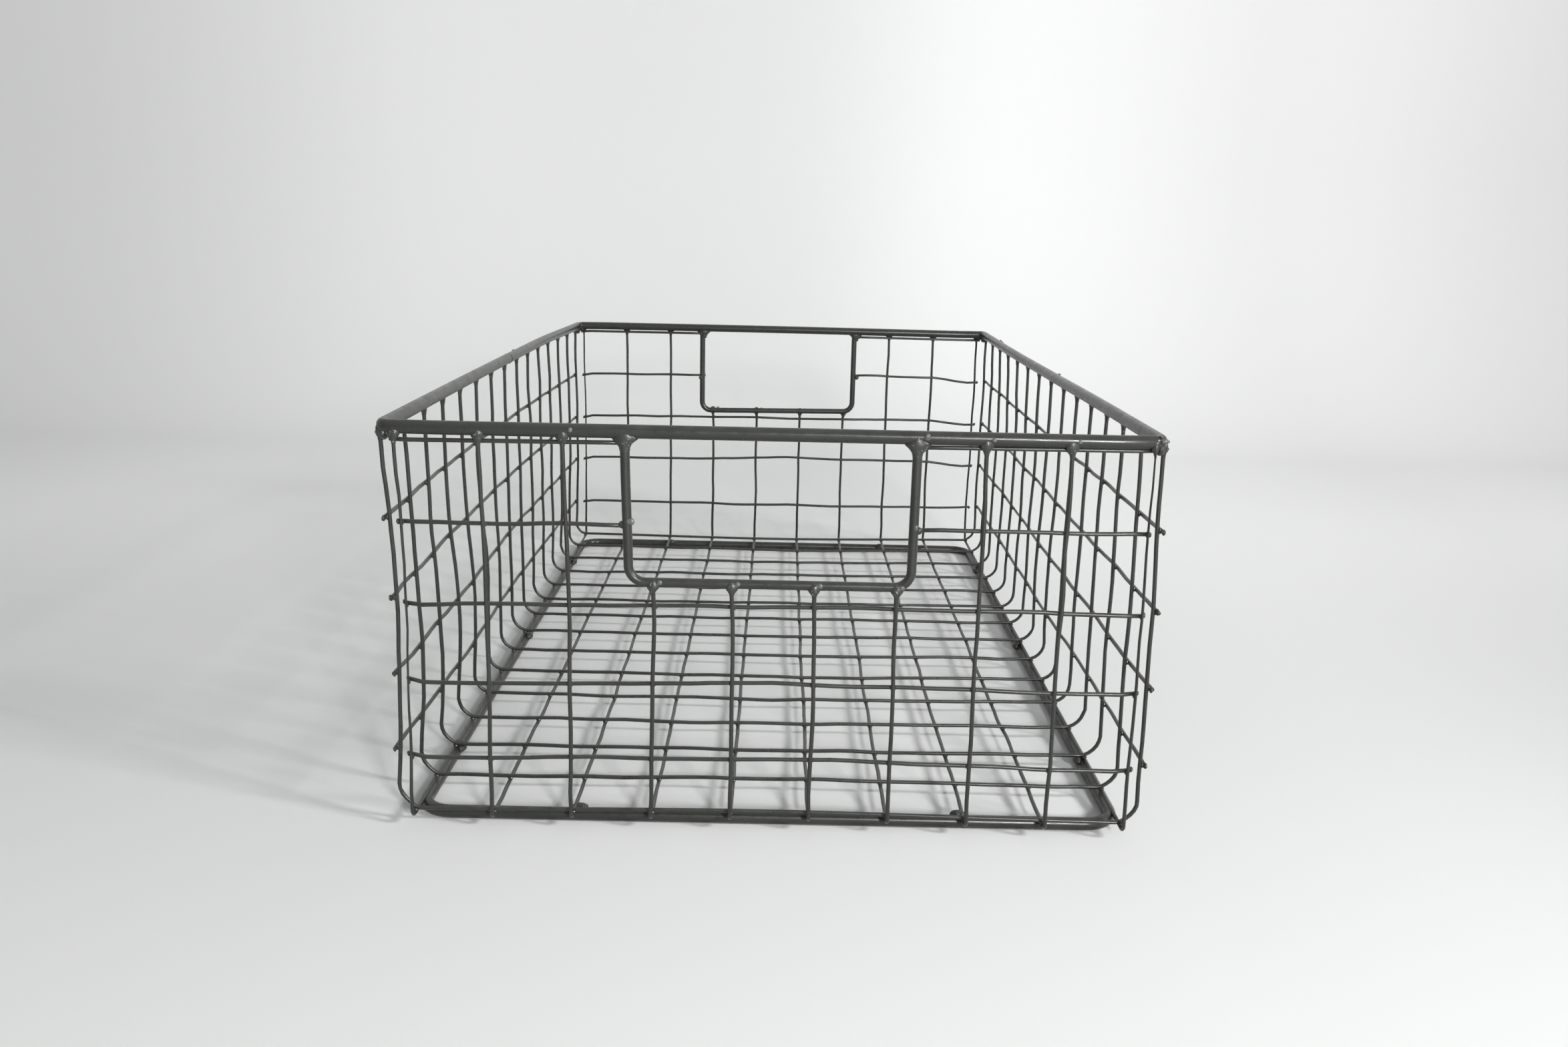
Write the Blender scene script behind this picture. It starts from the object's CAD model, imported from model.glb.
# %% [markdown]
# # Wire locker basket
#
# The real basket is a tray of thin welded mesh. Its walls hang from a thick
# rim wire, its floor stands on a ring of the same wire, and each end has a
# hand-hold bent from a middle thickness. All of it was dipped in one dark
# satin lacquer. The CAD model gives every wire its exact place, so this
# lesson redraws each wire where the CAD has it, adds what a welder leaves
# behind, and then gives the metal its finish, its light and its camera.

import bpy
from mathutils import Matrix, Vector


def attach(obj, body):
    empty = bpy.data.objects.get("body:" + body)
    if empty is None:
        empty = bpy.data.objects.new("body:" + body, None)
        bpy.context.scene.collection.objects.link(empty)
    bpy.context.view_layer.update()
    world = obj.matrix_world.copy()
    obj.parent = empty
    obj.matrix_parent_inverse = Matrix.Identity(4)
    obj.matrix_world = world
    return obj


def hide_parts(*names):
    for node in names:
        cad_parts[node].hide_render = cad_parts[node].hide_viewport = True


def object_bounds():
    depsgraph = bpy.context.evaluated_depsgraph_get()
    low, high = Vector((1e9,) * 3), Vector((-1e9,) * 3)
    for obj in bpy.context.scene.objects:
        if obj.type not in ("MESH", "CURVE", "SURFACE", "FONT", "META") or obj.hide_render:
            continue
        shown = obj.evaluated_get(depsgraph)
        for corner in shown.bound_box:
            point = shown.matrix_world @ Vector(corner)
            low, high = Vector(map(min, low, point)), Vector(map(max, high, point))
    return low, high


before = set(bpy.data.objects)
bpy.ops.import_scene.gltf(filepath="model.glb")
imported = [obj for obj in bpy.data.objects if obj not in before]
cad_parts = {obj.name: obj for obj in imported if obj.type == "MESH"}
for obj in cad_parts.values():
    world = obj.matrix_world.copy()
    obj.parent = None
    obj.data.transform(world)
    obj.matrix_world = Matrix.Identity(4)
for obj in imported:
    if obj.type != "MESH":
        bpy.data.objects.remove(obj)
cad_box = [list(corner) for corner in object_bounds()]
print("CAD nodes:", len(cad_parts), "box:", cad_box)

# %% [markdown]
# The wires are placed by a few lengths, the same ones that the CAD source
# is built on. They are written once here, in millimetres, and turned into
# metres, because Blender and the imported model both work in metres.

# %% The basket's own lengths
import math

import bpy
from mathutils import Matrix, Vector

MM = 0.001
PITCH = 30 * MM
MESH_R, HANDLE_R, RIM_R = 0.8 * MM, 1.75 * MM, 2.5 * MM
WALL_X, WALL_Y = 141.3 * MM, 214.5 * MM
LAST_X, LAST_Y = 135 * MM, 210 * MM
LONG_Z, CROSS_Z = 5.8 * MM, 7.4 * MM
RIM_X, RIM_Y, RIM_Z = 139.9 * MM, 213.1 * MM, 153.8 * MM
RING_X, RING_Y, RING_Z = 135 * MM, 208.5 * MM, 2.5 * MM
HANDLE_X, HANDLE_Y, BAR_Z = 51.6 * MM, 213.5 * MM, 98.8 * MM
SIDE_ROW_X, END_ROW_Y = 142.9 * MM, 212.9 * MM
END_ROWS = [z * MM for z in (150, 120, 90, 60, 30)]
SIDE_ROWS = [z * MM for z in (150.6, 120.6, 90.6, 60.6, 30.6)]
CROSS_Y = [(i - 7) * PITCH for i in range(15)]
LONG_X = [(j - 4.5) * PITCH for j in range(10)]
print("overall, mm:", [round((b - a) / MM, 1) for a, b in zip(*cad_box)])

# %% [markdown]
# A wire is drawn the way a wire bender works. A small disc is the cut end
# of the stock. It is pushed forward in short steps for a straight run and
# swung round a former for a bend. A curve with a round bevel would be
# quicker, but a drawn mesh gives rings at known places, which later lets
# the wire be sprung out of true between its welds.

# %% Tools of the wire bender
def nothing_selected():
    """Leaves edit mode and deselects all, so an operator acts on one piece."""
    if bpy.context.object and bpy.context.object.mode != "OBJECT":
        bpy.ops.object.mode_set(mode="OBJECT")
    bpy.ops.object.select_all(action="DESELECT")


def pick(piece):
    nothing_selected()
    piece.select_set(True)
    bpy.context.view_layer.objects.active = piece


def cut_end(name, place, heading, radius, sides):
    """A filled disc that faces along the wire. It stays in edit mode."""
    nothing_selected()
    turned = Vector((0, 0, 1)).rotation_difference(Vector(heading)).to_euler()
    bpy.ops.mesh.primitive_circle_add(
        vertices=sides, radius=radius, fill_type="NGON", location=place, rotation=turned)
    wire = bpy.context.object
    wire.name = wire.data.name = name
    bpy.ops.object.transform_apply(location=True, rotation=True, scale=True)
    bpy.ops.object.mode_set(mode="EDIT")
    bpy.ops.mesh.select_all(action="SELECT")
    return wire


def run(along, steps):
    """Pushes the end of the wire forward by the vector along, in equal steps."""
    step = Vector(along) / steps
    for _ in range(steps):
        bpy.ops.mesh.extrude_region_move(TRANSFORM_OT_translate={"value": step})


def swing(centre, axis, steps=6, angle=math.pi / 2):
    """Swings the end of the wire round a former that stands at centre."""
    bpy.ops.mesh.spin(steps=steps, angle=-angle, center=centre, axis=axis)


def finished(wire, sharp=40):
    """Closes the wire, points its faces outwards and shades it round."""
    bpy.ops.mesh.select_all(action="SELECT")
    bpy.ops.mesh.remove_doubles(threshold=0.00001)
    bpy.ops.mesh.normals_make_consistent(inside=False)
    pick(wire)
    bpy.ops.object.shade_smooth_by_angle(angle=math.radians(sharp))
    return wire


def copied(piece, name, move):
    """A copy with a mesh of its own, moved and then applied."""
    pick(piece)
    bpy.ops.object.duplicate(linked=False)
    twin = bpy.context.object
    twin.name = twin.data.name = name
    bpy.ops.transform.translate(value=move)
    bpy.ops.object.transform_apply(location=True, rotation=True, scale=True)
    return twin


def joined(pieces, name):
    """Several small lumps as one piece."""
    nothing_selected()
    for piece in pieces:
        piece.select_set(True)
    bpy.context.view_layer.objects.active = pieces[0]
    bpy.ops.object.join()
    whole = bpy.context.object
    whole.name = whole.data.name = name
    return whole

# %% [markdown]
# The rim and the base ring are the same kind of thing: one length of 5 mm
# wire bent into a rectangle, its two ends butted together. The loop starts
# at the middle of its left rail and is drawn all the way round, and the last
# ring of points is merged onto the first.

# %% Rim and base ring
def loop(name, half_x, half_y, z, corner, radius, sides):
    wire = cut_end(name, (-half_x, 0, z), (0, -1, 0), radius, sides)
    bpy.ops.mesh.delete(type="ONLY_FACE")
    bpy.ops.mesh.select_all(action="SELECT")
    run((0, -(half_y - corner), 0), 14)
    swing((-half_x + corner, -half_y + corner, z), (0, 0, 1), 8)
    run((2 * (half_x - corner), 0, 0), 18)
    swing((half_x - corner, -half_y + corner, z), (0, 0, 1), 8)
    run((0, 2 * (half_y - corner), 0), 28)
    swing((half_x - corner, half_y - corner, z), (0, 0, 1), 8)
    run((-2 * (half_x - corner), 0, 0), 18)
    swing((-half_x + corner, half_y - corner, z), (0, 0, 1), 8)
    run((0, -(half_y - corner), 0), 14)
    return finished(wire)


rim = loop("rim_wire", RIM_X, RIM_Y, RIM_Z, 4 * MM, RIM_R, 28)
base_ring = loop("base_ring_wire", RING_X, RING_Y, RING_Z, 12 * MM, RIM_R, 28)
for wire in (rim, base_ring):
    print(wire.name, [round(side / MM, 1) for side in wire.dimensions], "mm")

# %% [markdown]
# Each hand-hold is one U of 3.5 mm wire hung under the rim. Its posts run up
# into the rim, where the welds hide their ends. The back one is a copy.

# %% Handles
def handle(name, y):
    corner = 6.2 * MM
    top = RIM_Z - 0.6 * MM
    wire = cut_end(name, (-HANDLE_X, y, top), (0, 0, -1), HANDLE_R, 22)
    run((0, 0, BAR_Z + corner - top), 8)
    swing((-HANDLE_X + corner, y, BAR_Z + corner), (0, -1, 0), 8)
    run((2 * (HANDLE_X - corner), 0, 0), 12)
    swing((HANDLE_X - corner, y, BAR_Z + corner), (0, -1, 0), 8)
    run((0, 0, top - BAR_Z - corner), 8)
    return finished(wire)


handle_front = handle("handle_front_wire", -HANDLE_Y)
handle_back = copied(handle_front, "handle_back_wire", (0, 2 * HANDLE_Y, 0))
print("hand-hold, mm:", round(2 * (HANDLE_X - HANDLE_R) / MM, 1), "wide")

# %% [markdown]
# The mesh is welded from 1.6 mm wire. Fifteen wires cross the basket: down
# the left wall, over the floor and up the right wall, with an easy bend at
# the foot. They are all alike, so one is drawn and the others are copies.

# %% Cross wires
MESH_SIDES = 12


def cross_wire(name, y):
    corner = 8.5 * MM
    top = RIM_Z - 0.4 * MM
    rise = top - CROSS_Z - corner
    wire = cut_end(name, (-WALL_X, y, top), (0, 0, -1), MESH_R, MESH_SIDES)
    run((0, 0, -rise), 18)
    swing((-WALL_X + corner, y, CROSS_Z + corner), (0, -1, 0))
    run((2 * (WALL_X - corner), 0, 0), 36)
    swing((WALL_X - corner, y, CROSS_Z + corner), (0, -1, 0))
    run((0, 0, rise), 18)
    return finished(wire)


mesh_wires = {}
first = cross_wire("cross_wire_01_drawn", CROSS_Y[0])
mesh_wires["cross_wire_01"] = first
for i in range(1, 15):
    node = "cross_wire_%02d" % (i + 1)
    mesh_wires[node] = copied(first, node + "_drawn", (0, i * PITCH, 0))
print("cross wires:", len(mesh_wires), "with", len(first.data.polygons), "faces each")

# %% [markdown]
# Ten wires run the other way, under the cross wires. Their bends at the foot
# of the end walls are tight. The four in the middle were cut off to open the
# hand-hold, and stop on the handle's bar. The other six reach the rim.

# %% Lengthwise wires
def long_wire(name, x, top):
    corner = 2.4 * MM
    rise = top - LONG_Z - corner
    wire = cut_end(name, (x, -WALL_Y, top), (0, 0, -1), MESH_R, MESH_SIDES)
    run((0, 0, -rise), 12 if top < RIM_Z - 10 * MM else 18)
    swing((x, -WALL_Y + corner, LONG_Z + corner), (1, 0, 0))
    run((0, 2 * (WALL_Y - corner), 0), 56)
    swing((x, WALL_Y - corner, LONG_Z + corner), (1, 0, 0))
    run((0, 0, rise), 12 if top < RIM_Z - 10 * MM else 18)
    return finished(wire)


whole = long_wire("long_wire_01_drawn", LONG_X[0], RIM_Z - 0.4 * MM)
short = long_wire("long_wire_04_drawn", LONG_X[3], BAR_Z + 0.3 * MM)
CUT = (3, 4, 5, 6)
for j in range(10):
    node = "long_wire_%02d" % (j + 1)
    model = short if j in CUT else whole
    start = LONG_X[3] if j in CUT else LONG_X[0]
    if j in (0, 3):
        mesh_wires[node] = model
    else:
        mesh_wires[node] = copied(model, node + "_drawn", (LONG_X[j] - start, 0, 0))
print("wires so far:", len(mesh_wires))

# %% [markdown]
# Five level wires run round each wall. Those of the side walls lie outside
# the upright wires, those of the end walls lie inside, and each sticks out
# about 2 mm past the last wire it crosses. The end of each stub is a little
# narrowed, as shears leave it. Next to a hand-hold the upper two rows are
# cut, and their inner ends sit on the handle's posts.

# %% Level wires
STUB = 2.2 * MM


def level_wire(name, start, along, steps):
    """A straight wire with both cut ends slightly narrowed."""
    way = Vector(along).normalized()
    wire = cut_end(name, start, way, MESH_R * 0.72, MESH_SIDES)
    run(way * 0.3 * MM, 1)
    bpy.ops.transform.resize(value=(1 / 0.72,) * 3)
    run(Vector(along) - way * 0.6 * MM, steps)
    run(way * 0.3 * MM, 1)
    bpy.ops.transform.resize(value=(0.72,) * 3)
    return finished(wire)


side_length = 2 * (LAST_Y + STUB)
side_first = level_wire("side_wire_left_1_drawn", (-SIDE_ROW_X, -LAST_Y - STUB, SIDE_ROWS[0]),
                        (0, side_length, 0), 56)
for k, z in enumerate(SIDE_ROWS):
    for side, x in (("left", -SIDE_ROW_X), ("right", SIDE_ROW_X)):
        node = "side_wire_%s_%d" % (side, k + 1)
        mesh_wires[node] = side_first if (k, side) == (0, "left") else copied(
            side_first, node + "_drawn", (x + SIDE_ROW_X, 0, z - SIDE_ROWS[0]))

end_first = level_wire("end_wire_front_3_drawn", (-LAST_X - STUB, -END_ROW_Y, END_ROWS[2]),
                       (2 * (LAST_X + STUB), 0, 0), 36)
for k in (2, 3, 4):
    for end, y in (("front", -END_ROW_Y), ("back", END_ROW_Y)):
        node = "end_wire_%s_%d" % (end, k + 1)
        mesh_wires[node] = end_first if (k, end) == (2, "front") else copied(
            end_first, node + "_drawn", (0, y + END_ROW_Y, END_ROWS[k] - END_ROWS[2]))

inner = HANDLE_X + 1.4 * MM
half_length = LAST_X + STUB - inner
half_first = level_wire("end_wire_front_1_left_drawn", (-LAST_X - STUB, -END_ROW_Y, END_ROWS[0]),
                        (half_length, 0, 0), 11)
for k in (0, 1):
    for end, y in (("front", -END_ROW_Y), ("back", END_ROW_Y)):
        for side, x in (("left", -LAST_X - STUB), ("right", inner)):
            node = "end_wire_%s_%d_%s" % (end, k + 1, side)
            mesh_wires[node] = half_first if (k, end, side) == (0, "front", "left") else copied(
                half_first, node + "_drawn",
                (x + LAST_X + STUB, y + END_ROW_Y, END_ROWS[k] - END_ROWS[0]))
print("mesh wires:", len(mesh_wires))

# %% [markdown]
# Where two mesh wires cross, a spot welder has pressed them into each other.
# That leaves a small nugget with a soft edge. There are some hundreds, so
# each is a low ball of a few dozen faces, flattened towards the crossing.

# %% Nuggets at the crossings
def ball(name, place, radii, detail=1):
    """A rounded lump with its three half-widths, the seed of every weld."""
    nothing_selected()
    bpy.ops.mesh.primitive_ico_sphere_add(subdivisions=detail + 1, radius=1, location=place)
    lump = bpy.context.object
    lump.name = lump.data.name = name
    lump.scale = radii
    bpy.ops.object.transform_apply(location=True, rotation=True, scale=True)
    return lump


def scattered(seed, places, name):
    """Copies one lump to many places and joins them into one piece."""
    lumps = [seed]
    home = Vector(places[0])
    for place in places[1:]:
        lumps.append(copied(seed, name, Vector(place) - home))
    return joined(lumps, name)


def nugget_places():
    floor = [(x, y, (LONG_Z + CROSS_Z) / 2) for x in LONG_X for y in CROSS_Y]
    sides = [(s * (WALL_X + SIDE_ROW_X) / 2, y, z) for s in (-1, 1) for y in CROSS_Y for z in SIDE_ROWS]
    ends = []
    for e in (-1, 1):
        for j, x in enumerate(LONG_X):
            for k, z in enumerate(END_ROWS):
                if not (j in CUT and k < 2):
                    ends.append((x, e * (WALL_Y + END_ROW_Y) / 2, z))
    return floor, sides, ends


floor_places, side_places, end_places = nugget_places()
nuggets = joined([
    scattered(ball("n", floor_places[0], (1.25 * MM, 1.25 * MM, 0.75 * MM)), floor_places, "floor"),
    scattered(ball("n", side_places[0], (0.75 * MM, 1.25 * MM, 1.25 * MM)), side_places, "sides"),
    scattered(ball("n", end_places[0], (1.25 * MM, 0.75 * MM, 1.25 * MM)), end_places, "ends"),
], "crossing_nuggets")
print("nuggets:", len(floor_places) + len(side_places) + len(end_places),
      "faces:", len(nuggets.data.polygons))

# %% [markdown]
# Where the thin mesh meets the thick rim, a torch has run a little metal
# into the joint. It flares out along the rim like the foot of a trumpet and
# ends as a low lump on the rim's outer face. One is drawn as a short wire
# that is widened ring by ring, and every joint gets a copy.

# %% Flares under the rim
def flare(name, foot, rings, along, sides=14):
    """Rings of (rise, half-width along the rail, half-width across, shift across)."""
    across = Vector((along[1], along[0], 0))
    start = Vector(foot)
    shape = cut_end(name, start, (0, 0, 1), 1 * MM, sides)
    wide, deep, height, shift = 1.0, 1.0, 0.0, 0.0
    for step, (rise, half_along, half_across, aside) in enumerate(rings):
        if step:
            move = across * (aside - shift) * MM + Vector((0, 0, (rise - height) * MM))
            bpy.ops.mesh.extrude_region_move(TRANSFORM_OT_translate={"value": move})
        grow_along, grow_across = half_along / wide, half_across / deep
        size = [grow_along * abs(along[a]) + grow_across * abs(across[a]) for a in (0, 1)] + [1]
        bpy.ops.transform.resize(value=size)
        wide, deep, height, shift = half_along, half_across, rise, aside
    return finished(shape, 80)


RIM_UNDER = RIM_Z - RIM_R
JOINT = ((-3.6, 0.80, 0.80, 0), (-2.6, 0.95, 0.92, 0), (-1.7, 1.25, 1.05, 0), (-0.9, 1.75, 1.25, 0),
         (-0.2, 2.35, 1.35, 0), (0.7, 2.60, 1.32, 0), (1.7, 2.30, 1.28, 0), (2.7, 1.60, 1.05, -0.15),
         (3.3, 0.80, 0.70, -0.35))


def rim_joints():
    """One flare for each end of each wire that reaches the rim."""
    pieces = []
    for side in (-1, 1):
        rings = [(r, a, c, s * side) for r, a, c, s in JOINT]
        seed = flare("f", (side * WALL_X, CROSS_Y[0], RIM_UNDER - 3.6 * MM), [(r + 3.6, a, c, s) for r, a, c, s in rings], (0, 1))
        pieces.append(seed)
        pieces += [copied(seed, "f", (0, y - CROSS_Y[0], 0)) for y in CROSS_Y[1:]]
    for end in (-1, 1):
        rings = [(r, a, c, s * end) for r, a, c, s in JOINT]
        seed = flare("f", (LONG_X[0], end * WALL_Y, RIM_UNDER - 3.6 * MM), [(r + 3.6, a, c, s) for r, a, c, s in rings], (1, 0))
        pieces.append(seed)
        pieces += [copied(seed, "f", (LONG_X[j] - LONG_X[0], 0, 0)) for j in (1, 2, 7, 8, 9)]
    return joined(pieces, "rim_flares")


rim_flares = rim_joints()
print("flares under the rim:", len(rim_flares.data.polygons), "faces")

# %% [markdown]
# The handle's posts are thicker, so their fillets are too: they spread
# almost 5 mm to each side along the rim. These pieces stand for the CAD's
# plain cones. Under the handle's bar, each cut wire is held by a blob that
# sags round it, with a bright bead beside it where the torch was lifted.

# %% Welds of the handles
ROOT = ((0, 1.80, 1.80, 0), (1.4, 2.05, 1.90, 0), (2.6, 2.7, 2.0, 0), (3.5, 3.7, 2.2, 0),
        (4.3, 4.7, 2.15, 0), (5.2, 4.4, 2.15, 0), (6.4, 3.2, 2.0, -0.1), (7.4, 2.1, 2.1, -0.3))
root_seed = flare("f", (-HANDLE_X, -HANDLE_Y, RIM_UNDER - 4.2 * MM), [(r, a, c, -s) for r, a, c, s in ROOT], (1, 0), 18)
root_back = flare("f", (-HANDLE_X, HANDLE_Y, RIM_UNDER - 4.2 * MM), ROOT, (1, 0), 18)
handle_roots = joined([root_seed, root_back, copied(root_seed, "f", (2 * HANDLE_X, 0, 0)),
                       copied(root_back, "f", (2 * HANDLE_X, 0, 0))], "handle_root_fillets")

BAR = ((0, 0.80, 0.80, 0), (0.9, 1.0, 1.0, 0), (1.7, 1.5, 1.25, 0), (2.4, 2.1, 1.35, 0),
       (3.2, 2.5, 1.35, -0.1), (4.2, 2.3, 1.30, -0.2), (5.2, 1.6, 1.15, -0.3), (5.8, 0.8, 0.7, -0.5))
bar_foot = BAR_Z - HANDLE_R - 2.6 * MM
bar_pieces = []
for end in (-1, 1):
    seed = flare("f", (LONG_X[3], end * WALL_Y, bar_foot), [(r, a, c, s * end) for r, a, c, s in BAR], (1, 0))
    bar_pieces.append(seed)
    bar_pieces += [copied(seed, "f", (LONG_X[j] - LONG_X[3], 0, 0)) for j in CUT[1:]]
beads = []
for end in (-1, 1):
    for j in CUT:
        place = (LONG_X[j] + 3.4 * MM, end * (HANDLE_Y + 1.25 * MM), BAR_Z + 0.2 * MM)
        beads.append(ball("b", place, (1.15 * MM, 0.75 * MM, 1.05 * MM), 2))
bar_blobs = joined(bar_pieces, "handle_bar_blobs")

post_pieces = []
for end in (-1, 1):
    for side in (-1, 1):
        for z in END_ROWS[:2]:
            place = (side * (HANDLE_X + 1.7 * MM), end * END_ROW_Y, z)
            post_pieces.append(ball("b", place, (1.5 * MM, 1.3 * MM, 1.45 * MM), 2))
        place = (side * HANDLE_X + 0.5 * MM, end * (HANDLE_Y + 1.2 * MM), END_ROWS[1] + 1.6 * MM)
        beads.append(ball("b", place, (0.9 * MM, 0.7 * MM, 1.3 * MM), 2))
post_blobs = joined(post_pieces, "handle_post_blobs")
print("handle welds:", len(handle_roots.data.polygons) + len(bar_blobs.data.polygons)
      + len(post_blobs.data.polygons), "faces")

# %% [markdown]
# The rim was bent from one wire, and its corners were run over with weld to
# catch the last mesh wires beside them, so each corner is a lump with a drip
# under it. The butt joint in the left rail is a rough collar.

# %% Welds of the rim
corner_pieces = []
for sx in (-1, 1):
    for sy in (-1, 1):
        cx, cy = RIM_X - 4 * MM, RIM_Y - 4 * MM
        bend_mid = 4 * MM * math.sqrt(0.5)
        corner_pieces.append(ball("c", (sx * (cx + bend_mid), sy * (cy + bend_mid), RIM_Z - 0.1 * MM),
                                  (2.7 * MM, 2.7 * MM, 2.45 * MM), 3))
        corner_pieces.append(ball("c", (sx * (RIM_X - 0.2 * MM), sy * (RIM_Y - 2.0 * MM), RIM_Z - 2.6 * MM),
                                  (1.9 * MM, 2.5 * MM, 2.6 * MM), 3))
        corner_pieces.append(ball("c", (sx * (RIM_X - 3.6 * MM), sy * (RIM_Y + 0.1 * MM), RIM_Z - 2.0 * MM),
                                  (2.4 * MM, 1.9 * MM, 2.0 * MM), 3))
corner_welds = joined(corner_pieces, "rim_corner_lumps")

seam_pieces = []
for turn in range(10):
    angle = turn * 0.63
    seam_pieces.append(ball("s", (-RIM_X + 1.9 * MM * math.cos(angle), (2.2 + 0.25 * math.sin(3 * angle)) * MM,
                                  RIM_Z + 1.9 * MM * math.sin(angle)), (0.9 * MM, 1.2 * MM, 0.9 * MM), 2))
seam_weld = joined(seam_pieces, "rim_seam_collar")

SPATTER = ((142.0, 155, 155.4, 0.8), (142.2, 149, 155.2, 0.6), (141.9, -14, 155.6, 0.7),
           (-142.0, 26, 155.3, 0.7), (-136.9, 216.0, 155.2, 0.8), (137.5, 215.4, 155.1, 0.9),
           (139.0, -214.4, 155.8, 0.7), (-60.8, 215.3, 154.2, 0.9))
beads += [ball("b", (x * MM, y * MM, z * MM), (a * MM, 0.6 * MM, c * MM), 2) for x, y, z, a, c in (
    (54.6, -215.2, 154.6, 1.2, 1.3), (137.4, -215.2, 154.9, 1.5, 0.8), (134.2, -215.4, 154.3, 0.9, 0.6),
    (-72.6, -215.4, 154.5, 0.8, 0.9), (76.9, -215.4, 154.2, 1.0, 0.9), (107.2, -215.4, 154.3, 0.9, 0.8))]
bright_beads = joined(beads, "bright_weld_beads")
spatter = joined([ball("p", (x * MM, y * MM, z * MM), (r * MM,) * 3, 2) for x, y, z, r in SPATTER],
                 "rim_spatter")
print("corner lumps:", len(corner_welds.data.polygons), "faces, seam:", len(seam_weld.data.polygons))

# %% [markdown]
# The floor is tacked to the base ring in ten places only: under a cross
# wire at the middle and near both ends of each side rail, and beside a
# lengthwise wire in each end rail. Each tack is a short smear against the
# inner side of the rail. The stubs of the level wires end in small drops.

# %% Tacks on the base ring, drops on the stubs
tack_pieces = []
for sx in (-1, 1):
    for y, long in ((-151.5, 3.6), (-3.0, 3.0), (149.0, 4.2)):
        tack_pieces.append(ball("t", (sx * 132.6 * MM, y * MM, 4.1 * MM), (2.0 * MM, long * MM, 1.9 * MM), 3))
        tack_pieces.append(ball("t", (sx * 134.0 * MM, (y + 1.2) * MM, 5.6 * MM), (2.2 * MM, 1.9 * MM, 1.3 * MM), 2))
for sy in (-1, 1):
    for x in (-73.2, 73.6):
        tack_pieces.append(ball("t", (x * MM, sy * 206.2 * MM, 4.4 * MM), (3.2 * MM, 1.7 * MM, 1.6 * MM), 3))
tacks = joined(tack_pieces, "base_ring_tacks")

drop_pieces = []
for sx in (-1, 1):
    for sy in (-1, 1):
        for z in SIDE_ROWS[1:]:
            drop_pieces.append(ball("d", (sx * SIDE_ROW_X * 0.999, sy * (LAST_Y + 1.5 * MM), z),
                                    (0.65 * MM, 1.25 * MM, 1.15 * MM), 2))
        for z in END_ROWS:
            drop_pieces.append(ball("d", (sx * (LAST_X + 1.6 * MM), sy * END_ROW_Y, z),
                                    (1.0 * MM, 0.95 * MM, 1.0 * MM), 2))
drops = joined(drop_pieces, "stub_drops")
print("tacks:", len(tack_pieces), "drops:", len(drop_pieces))

# %% [markdown]
# Weld metal is never as even as these balls. A Displace modifier with a
# fine cloud pattern pushes each lump in and out by a few tenths of a
# millimetre, and is applied.

# %% Roughening the weld metal
def roughened(piece, size, depth):
    grain = bpy.data.textures.new(piece.name + "_grain", "CLOUDS")
    grain.noise_scale = size
    grain.noise_depth = 2
    pick(piece)
    push = piece.modifiers.new("weld grain", "DISPLACE")
    push.texture = grain
    push.texture_coords = "LOCAL"
    push.strength = depth
    push.mid_level = 0.5
    bpy.ops.object.modifier_apply(modifier=push.name)
    bpy.ops.object.shade_smooth()


weld_pieces = [bright_beads, rim_flares, handle_roots, bar_blobs, post_blobs, corner_welds, seam_weld, spatter, tacks, drops]
for piece in weld_pieces:
    roughened(piece, 2.2 * MM, 0.45 * MM)

# %% [markdown]
# A hand-welded basket is never quite square. Set against the drawing, the
# front corners of this one are pulled in by 2 to 3 mm, the level wires of the
# back wall sit a little high, and the floor sags slightly. A Lattice is a
# cage whose few knots bend all that is inside it in one smooth movement, so
# wires that meet stay together. One cage leans the whole mesh. A second one,
# held back by a vertex group, moves only the side walls. The offsets are
# small, and the thick ring and the hand-holds keep their own places.

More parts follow.
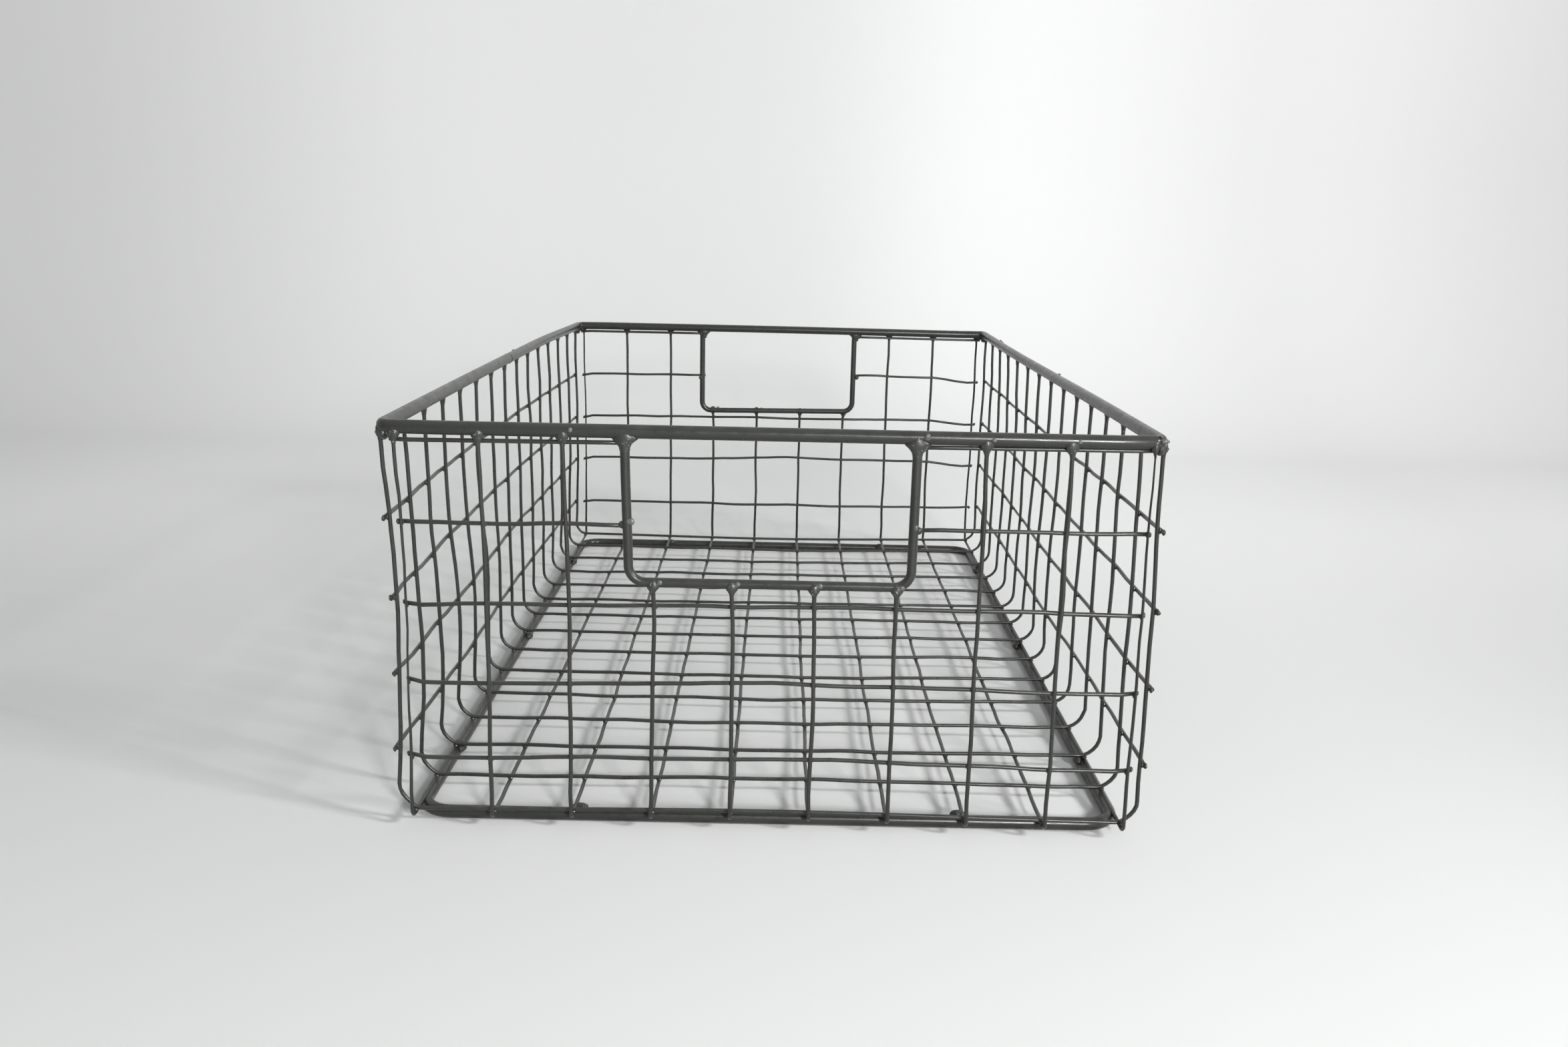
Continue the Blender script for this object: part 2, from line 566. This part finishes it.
# %% The lean of the mesh
# rows of knots from left to right and front to back, each from floor to rim, in mm
LEAN = (
    ((0.0, -0.6, -1.2), (0.5, -0.8, -1.6), (0.7, -0.8, -0.9), (-0.2, -0.8, 0.3)),
    ((0.3, -0.3, -1.0), (1.1, -0.3, -0.5), (-0.2, -2.1, -0.2), (-0.2, -4.0, 0.3)),
    ((0.2, -0.1, -0.1), (0.0, -0.2, 0.0), (-0.2, -0.5, 0.1), (-0.2, -1.2, 0.3)),
    ((0.3, -0.1, -0.6), (0.5, 0.0, 0.3), (0.4, 0.0, 0.3), (0.0, 0.0, 0.1)),
    ((1.1, 0.1, 1.5), (1.5, 0.6, 3.2), (1.5, 0.2, 1.9), (1.2, 0.2, 0.0)),
    ((0.3, 0.8, -0.5), (0.4, 1.7, -0.4), (0.3, 1.7, -0.2), (-1.0, 0.5, 0.2)),
    ((0.1, -0.4, -1.5), (0.1, 0.1, -0.5), (0.0, 0.2, -0.1), (-0.2, 0.1, 0.0)),
    ((0.0, -0.1, -0.6), (0.0, 0.0, -0.1), (0.0, 0.0, 0.0), (0.0, 0.0, 0.0)),
    ((0.0, 0.0, -0.1), (0.0, 0.0, 0.5), (0.0, 0.0, 0.5), (0.0, 0.0, 0.0)),
    ((0.0, -0.1, 0.4), (0.0, 0.4, 3.1), (0.0, 0.2, 2.8), (0.0, 0.0, 0.0)),
    ((0.2, -0.8, -1.4), (0.2, -0.8, -1.1), (0.2, -0.8, 0.7), (0.2, -0.3, 0.3)),
    ((0.0, -0.1, -0.1), (-0.1, -0.1, -0.1), (-0.1, -0.2, 0.0), (0.2, -0.2, -0.1)),
    ((-0.1, 0.0, 0.2), (-0.3, -0.1, 0.1), (0.2, -0.8, 0.0), (0.2, -0.5, -0.2)),
    ((-0.2, 0.0, 0.7), (0.2, -0.4, 0.6), (0.2, -1.6, 0.3), (-0.7, -0.4, -0.1)),
    ((-0.8, 0.3, 2.5), (-0.9, 0.2, 2.1), (-0.5, -0.2, 1.2), (-0.6, -0.5, -0.5)),
)
WALL_LEAN = (
    ((0.4, 0, 1.6), (2.4, 0, 2.1), (2.0, 0, 0.6), (0.5, 0, 0.3)),
    ((0.2, 0, 0.2), (1.4, 0, 0.2), (0.0, 0, 0.1), (0.0, 0, 0.3)),
    ((0.0, 0, 0.0), (0.1, 0, 0.0), (0.0, 0, 0.0), (0.0, 0, 0.3)),
    ((0.1, 0, -0.1), (0.5, 0, -0.2), (0.6, 0, -0.2), (0.1, 0, 0.3)),
    ((0.4, 0, -0.8), (1.4, 0, -2.1), (1.7, 0, -2.1), (1.5, 0, -0.4)),
    ((-0.4, 0, 0.8), (-1.4, 0, 1.2), (-1.9, 0, -0.2), (-3.2, 0, 0.3)),
    ((-0.1, 0, 0.1), (-0.5, 0, 0.1), (-0.7, 0, -0.1), (-0.6, 0, -0.6)),
    ((-0.1, 0, 0.0), (-0.4, 0, 0.0), (0.0, 0, -0.2), (0.0, 0, -1.3)),
    ((-0.1, 0, 0.1), (0.0, 0, 0.1), (0.0, 0, 0.0), (-0.9, 0, -0.7)),
    ((-0.3, 0, 0.7), (-0.9, 0, 0.8), (-0.6, 0, 0.6), (-0.8, 0, 0.2)),
)


def cage(name, counts, span, table, kind):
    """A lattice over the basket, its knots shifted by the table."""
    nothing_selected()
    bpy.ops.object.add(type="LATTICE", location=(0, 0, 80 * MM))
    frame_of_knots = bpy.context.object
    frame_of_knots.name = name
    knots = frame_of_knots.data
    knots.points_u, knots.points_v, knots.points_w = counts
    knots.interpolation_type_u = kind
    knots.interpolation_type_v = knots.interpolation_type_w = "KEY_CATMULL_ROM"
    frame_of_knots.scale = [side * MM for side in span]
    for i in range(counts[0]):
        for j in range(counts[1]):
            for k in range(counts[2]):
                shift = table[i * counts[1] + j][k]
                knot = knots.points[i + counts[0] * (j + counts[1] * k)]
                knot.co_deform = knot.co + Vector([shift[a] / span[a] for a in range(3)])
    return frame_of_knots


mesh_cage = cage("mesh_cage", (3, 5, 4), (270, 428, 148), LEAN, "KEY_CATMULL_ROM")
wall_cage = cage("wall_cage", (2, 5, 4), (270, 428, 148), WALL_LEAN, "KEY_LINEAR")


def smooth_step(value, start, stop):
    t = min(max((value - start) / (stop - start), 0), 1)
    return t * t * (3 - 2 * t)


def held_by(piece, name, weight):
    """A vertex group that says how far each point follows."""
    group = piece.vertex_groups.new(name=name)
    for point in piece.data.vertices:
        group.add([point.index], weight(point.co), "REPLACE")
    return group


def leaned(piece, free=lambda co: 1.0):
    bpy.context.view_layer.update()
    held_by(piece, "free", free)
    held_by(piece, "side wall", lambda co: free(co) * smooth_step(abs(co.x), 133 * MM, 139 * MM))
    pick(piece)
    for knots, group in ((wall_cage, "side wall"), (mesh_cage, "free")):
        bend = piece.modifiers.new(knots.name, "LATTICE")
        bend.object, bend.vertex_group = knots, group
    for modifier in list(piece.modifiers):
        bpy.ops.object.modifier_apply(modifier=modifier.name)
    piece.vertex_groups.clear()


def below_the_bar(co):
    """The cut wires let go of the cage where the bar holds them."""
    return 1 - smooth_step(co.z, 84 * MM, 96 * MM)


for node, wire in mesh_wires.items():
    cut = node in ["long_wire_%02d" % (j + 1) for j in CUT]
    leaned(wire, below_the_bar if cut else lambda co: 1.0)
for piece in (rim, rim_flares, nuggets, corner_welds, seam_weld, spatter, drops):
    leaned(piece)
print("front left corner of the rim leans to",
      [round(c / MM, 1) for c in min((v.co for v in rim.data.vertices), key=lambda c: c.x + c.y)])
for knots in (mesh_cage, wall_cage):
    bpy.data.objects.remove(knots)

# %% [markdown]
# Between its welds each wire is also slightly wavy. A Displace modifier with a
# coloured cloud pattern moves every point sideways, up and along by up to
# 0.4 mm. The pattern is read at the point's place, so two wires that cross
# move alike. A vertex group keeps the wires still at the rim and on the ring.

# %% Waves in the mesh wires
waves = bpy.data.textures.new("wire_waves", "CLOUDS")
waves.cloud_type = "COLOR"
waves.noise_scale = 32 * MM
waves.noise_depth = 1


def away_from_welds(co):
    rim_side = 1 - smooth_step(co.z, 134 * MM, 148 * MM)
    ring_side = smooth_step(min(abs(abs(co.x) - RING_X), abs(abs(co.y) - RING_Y)), 3 * MM, 16 * MM)
    return rim_side * (ring_side if co.z < 14 * MM else 1)


def waved(piece):
    held_by(piece, "wavy", away_from_welds)
    pick(piece)
    push = piece.modifiers.new("waves", "DISPLACE")
    push.texture, push.texture_coords = waves, "LOCAL"
    push.direction, push.vertex_group = "RGB_TO_XYZ", "wavy"
    push.strength, push.mid_level = 1.5 * MM, 0.5
    bpy.ops.object.modifier_apply(modifier=push.name)
    piece.vertex_groups.clear()


before = [v.co.copy() for v in whole.data.vertices]
for wire in list(mesh_wires.values()) + [nuggets]:
    waved(wire)
print("largest wave, mm:", round(max((a - v.co).length for a, v in zip(before, whole.data.vertices)) / MM, 2))

# %% [markdown]
# The ring and the hand-holds were bent and welded on separately. The ring
# sits about 3 mm towards the back, and the front hand-hold hangs a little to
# the left. A small shift, fading out along the wires that touch it, brings
# each to its real place without opening a joint.

# %% Ring and hand-holds in their real places
def nudged(piece, way):
    """Moves each point by the vector that way gives for it, in mm."""
    for point in piece.data.vertices:
        point.co += Vector(way(point.co / MM)) * MM
    piece.data.update()


def with_front_handle(co):
    """The front hand-hold's shift; wires that meet a post follow over 12 mm."""
    if co.y > -200:
        return (0, 0, 0)
    near = 1 - smooth_step(abs(co.x), 54, 68)
    high = smooth_step(co.z, 100, 150)
    left, right = -1.0 - 1.0 * high, -1.5 + 0.2 * high
    across = min(max((co.x + 51.6) / 103.2, 0), 1)
    return ((left + (right - left) * across) * near, 0, 0)


for piece in (base_ring, tacks):
    nudged(piece, lambda co: (0, 3.0, 0))
nudged(handle_front, with_front_handle)
nudged(handle_roots, with_front_handle)
nudged(post_blobs, with_front_handle)
nudged(bright_beads, with_front_handle)


def with_fourth_wire(co):
    """The fourth long wire meets the front bar about 1.4 mm further right."""
    if co.y > -200 or abs(co.x + 45) > 8 or co.z > 125:
        return (0, 0, 0)
    return (1.4 * smooth_step(co.z, 40, 95), 0, 0)


for piece in (mesh_wires["long_wire_04"], bar_blobs, bright_beads, nuggets):
    nudged(piece, with_fourth_wire)


def with_back_rows(co):
    """Right of the middle the back rows were set higher; the third stays off the bar."""
    if co.y < 203:
        return (0, 0, 0)
    third = smooth_step(co.z, 84, 88) * (1 - smooth_step(co.z, 100, 104))
    start = -60 + 85 * third
    along = smooth_step(co.x, start, start + 60) * (1 - smooth_step(co.x, 104, 130))
    up = smooth_step(co.z, 35, 60) * (1 - smooth_step(co.z, 138, 146))
    return (0, 0, (2.4 - 0.9 * third) * along * up)


for node in mesh_wires:
    if node.startswith("end_wire_back"):
        nudged(mesh_wires[node], with_back_rows)
nudged(nuggets, with_back_rows)
for piece in (post_blobs, bright_beads):
    nudged(piece, lambda co: with_back_rows(co) if co.z > 110 else (0, 0, 0))


def with_back_handle(co):
    """The back hand-hold's bar hangs about 1 mm lower at its left end."""
    low = 1 - smooth_step(co.z, 102, 140)
    return (-0.8, 0, -1.2 * low * min(max((51.6 - co.x) / 103.2, 0), 1))


nudged(handle_back, with_back_handle)
for node in mesh_wires:
    if node.startswith("end_wire_front_1_") or node.startswith("end_wire_front_2_"):
        nudged(mesh_wires[node], with_front_handle)
    if node.startswith("end_wire_front_1_"):
        nudged(mesh_wires[node], lambda co: (0, 0, 0.75 * co.x / 137))
for side in ("left", "right"):
    # the top row ends inside the corner weld, so its ends are drawn in
    top_row = mesh_wires["side_wire_%s_1" % side]
    nudged(top_row, lambda co: (0, -math.copysign(max(abs(co.y) - 205, 0) * 0.45, co.y), 0))


def inside_the_drawing(co):
    """A lump that grew past the CAD's box is pressed back to it."""
    low, high = [Vector(corner) / MM for corner in cad_box]
    kept = [min(max(co[a], low[a] + 0.05 * (a < 2)), high[a] - 0.05) for a in range(3)]
    return Vector(kept) - co


thick_wires = [rim, base_ring, handle_front, handle_back]
for piece in thick_wires + [nuggets] + weld_pieces + list(mesh_wires.values()):
    nudged(piece, inside_the_drawing)
print("ring now from y", round(min(v.co.y for v in base_ring.data.vertices) / MM, 1), "mm")

# %% Everything rides on the one body
for piece in thick_wires + [nuggets] + weld_pieces + list(mesh_wires.values()):
    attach(piece, "root")
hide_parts("rim")
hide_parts("base_ring")
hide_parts("handle_front")
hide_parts("handle_back")
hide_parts("rim_corner_welds")
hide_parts("rim_seam_weld")
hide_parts("handle_root_welds")
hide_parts("handle_bar_welds")
for node, wire in mesh_wires.items():
    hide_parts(node)

# %% [markdown]
# The lacquer is a dark charcoal with a breath of green, dipped on and air
# dried, so it is satin rather than glossy and has a faint orange-peel skin.
# Where it is thin it goes a shade browner, and dust greys the upward faces.
# All of this comes from noise read in object coordinates, so a pattern has a
# real size in metres and stays put when the basket is seen from elsewhere.

# %% Building a finish out of nodes
def finish(name, thin, thick, rough, peel, bare=0.0, dust=0.10):
    """A dipped coat: two depths of colour, a skin, and a little dust on top."""
    material = bpy.data.materials.new(name)
    material.use_nodes = True
    tree = material.node_tree
    shader = tree.nodes["Principled BSDF"]
    place = tree.nodes.new("ShaderNodeTexCoord")

    def noise(scale, detail, roughness=0.55):
        node = tree.nodes.new("ShaderNodeTexNoise")
        node.inputs["Scale"].default_value = scale
        node.inputs["Detail"].default_value = detail
        node.inputs["Roughness"].default_value = roughness
        tree.links.new(place.outputs["Object"], node.inputs["Vector"])
        return node.outputs["Fac"]

    def ramp(value, stops):
        node = tree.nodes.new("ShaderNodeValToRGB")
        for stop, (position, colour) in zip(node.color_ramp.elements, stops):
            stop.position, stop.color = position, (*colour, 1)
        tree.links.new(value, node.inputs["Fac"])
        return node.outputs["Color"]

    def mixed(amount, first, second):
        node = tree.nodes.new("ShaderNodeMix")
        node.data_type = "RGBA"
        tree.links.new(amount, node.inputs["Factor"])
        for socket, value in (("A", first), ("B", second)):
            target = [i for i in node.inputs if i.name == socket and i.type == "RGBA"][0]
            if isinstance(value, tuple):
                target.default_value = (*value, 1)
            else:
                tree.links.new(value, target)
        return [o for o in node.outputs if o.type == "RGBA"][0]

    coat = ramp(noise(55, 4), ((0.32, thin), (0.68, thick)))
    # dust and rubbed lacquer on faces that look up
    normal = tree.nodes.new("ShaderNodeNewGeometry").outputs["Normal"]
    upward = tree.nodes.new("ShaderNodeSeparateXYZ")
    tree.links.new(normal, upward.inputs[0])
    patch = tree.nodes.new("ShaderNodeMath")
    patch.operation = "MULTIPLY"
    tree.links.new(ramp(upward.outputs["Z"], ((0.35, (0, 0, 0)), (1.0, (dust,) * 3))), patch.inputs[0])
    tree.links.new(ramp(noise(160, 5), ((0.3, (0.3,) * 3), (0.7, (1.0,) * 3))), patch.inputs[1])
    coat = mixed(patch.outputs[0], coat, (0.42, 0.42, 0.39))
    if bare:
        specks = ramp(noise(1500, 2), ((0.66 - 0.1 * bare, (0, 0, 0)), (0.72 - 0.1 * bare, (1, 1, 1))))
        coat = mixed(specks, coat, (0.30, 0.31, 0.30))
    tree.links.new(coat, shader.inputs["Base Color"])
    low, high = rough
    tree.links.new(ramp(noise(240, 3), ((0.3, (low,) * 3), (0.7, (high,) * 3))), shader.inputs["Roughness"])
    bump = tree.nodes.new("ShaderNodeBump")
    bump.inputs["Strength"].default_value = peel
    bump.inputs["Distance"].default_value = 0.0002
    tree.links.new(noise(1400, 2), bump.inputs["Height"])
    tree.links.new(bump.outputs["Normal"], shader.inputs["Normal"])
    return material


lacquer = finish("charcoal_lacquer", (0.017, 0.018, 0.015), (0.026, 0.0275, 0.0245), (0.25, 0.37), 0.10)
welded = finish("lacquer_over_weld", (0.019, 0.020, 0.017), (0.032, 0.034, 0.030), (0.28, 0.42), 0.16, bare=0.1)
silvery = finish("thin_lacquer_on_bead", (0.075, 0.08, 0.075), (0.14, 0.145, 0.137), (0.22, 0.34), 0.15)


def dressed(piece, material):
    piece.data.materials.clear()
    piece.data.materials.append(material)


for wire in thick_wires + [nuggets] + list(mesh_wires.values()):
    dressed(wire, lacquer)
for piece in weld_pieces:
    dressed(piece, silvery if piece is bright_beads else welded)
print("finishes:", lacquer.name, welded.name)

# %% [markdown]
# The basket stands on a sheet of white paper that sweeps up behind it.

# %% The paper sweep
nothing_selected()
bpy.ops.mesh.primitive_plane_add(size=1, location=(0, 0, 0))
sweep = bpy.context.object
sweep.name = sweep.data.name = "paper_sweep"
sweep.scale = (14, 7, 1)
sweep.location = (0, -2.90, 0)
bpy.ops.object.transform_apply(location=True, rotation=True, scale=True)
bpy.ops.object.mode_set(mode="EDIT")
bpy.ops.mesh.select_all(action="DESELECT")
bpy.ops.object.mode_set(mode="OBJECT")
for edge in sweep.data.edges:
    ends = [sweep.data.vertices[v].co.y for v in edge.vertices]
    edge.select = min(ends) > 0.59
bpy.ops.object.mode_set(mode="EDIT")
bpy.ops.mesh.select_mode(type="EDGE")
bpy.ops.mesh.spin(steps=24, angle=-math.pi / 2, center=(0, 0.60, 0.30), axis=(1, 0, 0))
bpy.ops.mesh.extrude_region_move(TRANSFORM_OT_translate={"value": (0, 0, 3)})
bpy.ops.object.mode_set(mode="OBJECT")
pick(sweep)
bpy.ops.object.shade_smooth()
paper = bpy.data.materials.new("white_paper")
paper.use_nodes = True
paper_shader = paper.node_tree.nodes["Principled BSDF"]
paper_shader.inputs["Roughness"].default_value = 0.9
paper_shader.inputs["Specular IOR Level"].default_value = 0.1
# the sheet is a little greyer towards its two sides, away from the lamps' centre
across = paper.node_tree.nodes.new("ShaderNodeTexCoord")
apart = paper.node_tree.nodes.new("ShaderNodeSeparateXYZ")
paper.node_tree.links.new(across.outputs["Object"], apart.inputs[0])
place_across = paper.node_tree.nodes.new("ShaderNodeMapRange")
place_across.inputs["From Min"].default_value = -1.0
place_across.inputs["From Max"].default_value = 1.0
paper.node_tree.links.new(apart.outputs["X"], place_across.inputs["Value"])
shade = paper.node_tree.nodes.new("ShaderNodeValToRGB")
shade.color_ramp.interpolation = "EASE"
paper.node_tree.links.new(place_across.outputs["Result"], shade.inputs["Fac"])
tones = [(0.05, 0.66), (0.33, 0.80), (0.62, 0.82), (0.80, 0.61), (1.0, 0.50)]
while len(shade.color_ramp.elements) < len(tones):
    shade.color_ramp.elements.new(0.5)
for stop, (position, tone) in zip(shade.color_ramp.elements, tones):
    stop.position, stop.color = position, (tone, tone * 1.006, tone, 1)
paper.node_tree.links.new(shade.outputs["Color"], paper_shader.inputs["Base Color"])
# far from the basket the lamps fade, so there the camera sees an even pale sheet
glow = paper.node_tree.nodes.new("ShaderNodeEmission")
glow.inputs["Color"].default_value = (0.98, 1, 0.985, 1)
glow.inputs["Strength"].default_value = 0.56
reach = paper.node_tree.nodes.new("ShaderNodeVectorMath")
reach.operation = "LENGTH"
paper.node_tree.links.new(across.outputs["Object"], reach.inputs[0])
far = paper.node_tree.nodes.new("ShaderNodeMapRange")
far.interpolation_type = "SMOOTHSTEP"
far.inputs["From Min"].default_value = 1.15
far.inputs["From Max"].default_value = 2.6
paper.node_tree.links.new(reach.outputs["Value"], far.inputs["Value"])
path = paper.node_tree.nodes.new("ShaderNodeLightPath")
looked_at = paper.node_tree.nodes.new("ShaderNodeMath")
looked_at.operation = "MAXIMUM"
paper.node_tree.links.new(path.outputs["Is Camera Ray"], looked_at.inputs[0])
paper.node_tree.links.new(path.outputs["Is Glossy Ray"], looked_at.inputs[1])
amount = paper.node_tree.nodes.new("ShaderNodeMath")
amount.operation = "MULTIPLY"
paper.node_tree.links.new(far.outputs["Result"], amount.inputs[0])
paper.node_tree.links.new(looked_at.outputs[0], amount.inputs[1])
sheet = paper.node_tree.nodes.new("ShaderNodeMixShader")
paper.node_tree.links.new(amount.outputs[0], sheet.inputs[0])
paper.node_tree.links.new(paper_shader.outputs[0], sheet.inputs[1])
paper.node_tree.links.new(glow.outputs[0], sheet.inputs[2])
# towards the back and up the wall the photographed paper is a little brighter
lift = paper.node_tree.nodes.new("ShaderNodeValToRGB")
lift.color_ramp.interpolation = "EASE"
paper.node_tree.links.new(place_across.outputs["Result"], lift.inputs["Fac"])
lifts = [(0.0, 0.15), (0.25, 0.14), (0.50, 0.06), (0.62, 0.15), (0.77, 0.22), (1.0, 0.18)]
while len(lift.color_ramp.elements) < len(lifts):
    lift.color_ramp.elements.new(0.5)
for stop, (position, gain) in zip(lift.color_ramp.elements, lifts):
    stop.position, stop.color = position, (gain, gain, gain, 1)
backwards = paper.node_tree.nodes.new("ShaderNodeMapRange")
backwards.interpolation_type = "SMOOTHSTEP"
backwards.inputs["From Min"].default_value = -0.15
backwards.inputs["From Max"].default_value = 0.35
paper.node_tree.links.new(apart.outputs["Y"], backwards.inputs["Value"])
gained = paper.node_tree.nodes.new("ShaderNodeMath")
gained.operation = "MULTIPLY"
paper.node_tree.links.new(backwards.outputs["Result"], gained.inputs[0])
paper.node_tree.links.new(looked_at.outputs[0], gained.inputs[1])
wall_glow = paper.node_tree.nodes.new("ShaderNodeEmission")
paper.node_tree.links.new(lift.outputs["Color"], wall_glow.inputs["Color"])
paper.node_tree.links.new(gained.outputs[0], wall_glow.inputs["Strength"])
both = paper.node_tree.nodes.new("ShaderNodeAddShader")
paper.node_tree.links.new(paper_shader.outputs[0], both.inputs[0])
paper.node_tree.links.new(wall_glow.outputs[0], both.inputs[1])
paper.node_tree.links.new(both.outputs[0], sheet.inputs[1])
paper.node_tree.links.new(sheet.outputs[0], paper.node_tree.nodes["Material Output"].inputs["Surface"])
sweep.data.materials.append(paper)
print("sweep:", [round(v.co.y, 2) for v in sweep.data.vertices][:6])

# %% Camera
camera_data = bpy.data.cameras.new("camera")
camera = bpy.data.objects.new("camera", camera_data)
bpy.context.scene.collection.objects.link(camera)
bpy.context.scene.camera = camera
camera_data.sensor_fit = "HORIZONTAL"
camera_data.sensor_width = 36
camera_data.lens = 1903.6 / 2348 * 36
camera_data.clip_start, camera_data.clip_end = 0.01, 50
yaw, pitch, roll = 0.00556, 0.23812, 0.02282
forward = Vector((math.sin(yaw) * math.cos(pitch), math.cos(yaw) * math.cos(pitch), -math.sin(pitch)))
level_right = Vector((math.cos(yaw), -math.sin(yaw), 0))
level_up = level_right.cross(forward)
right = math.cos(roll) * level_right + math.sin(roll) * level_up
up = -math.sin(roll) * level_right + math.cos(roll) * level_up
turned = Matrix((right, up, -forward)).transposed().to_4x4()
camera.matrix_world = Matrix.Translation(Vector((0.97, -657.71, 229.68)) * MM) @ turned

# %% World and lamps
world = bpy.data.worlds.new("studio")
bpy.context.scene.world = world
world.use_nodes = True
room = world.node_tree
room_light = room.nodes["Background"]
room_light.inputs["Color"].default_value = (0.97, 1, 0.985, 1)
ray = room.nodes.new("ShaderNodeLightPath")
seen = room.nodes.new("ShaderNodeMath")
seen.operation = "MAXIMUM"
room.links.new(ray.outputs["Is Camera Ray"], seen.inputs[0])
room.links.new(ray.outputs["Is Glossy Ray"], seen.inputs[1])
level = room.nodes.new("ShaderNodeMapRange")
level.inputs["To Min"].default_value = 0.245
level.inputs["To Max"].default_value = 0.56
room.links.new(seen.outputs[0], level.inputs["Value"])
room.links.new(level.outputs["Result"], room_light.inputs["Strength"])


def softbox(name, place, aim, size, watts):
    lamp_data = bpy.data.lights.new(name, "AREA")
    lamp_data.size = size
    lamp_data.energy = watts
    lamp = bpy.data.objects.new(name, lamp_data)
    bpy.context.scene.collection.objects.link(lamp)
    lamp.location = place
    lamp.rotation_euler = (Vector(aim) - Vector(place)).to_track_quat("-Z", "Y").to_euler()
    return lamp


softbox("front_softbox", (0.35, -1.2, 0.42), (0, 0.1, 0.1), 0.11, 9.6)
softbox("right_softbox", (2.36, -1.24, 1.36), (0, 0, 0.05), 0.40, 60.0)

bpy.context.scene.view_settings.view_transform = "Standard"
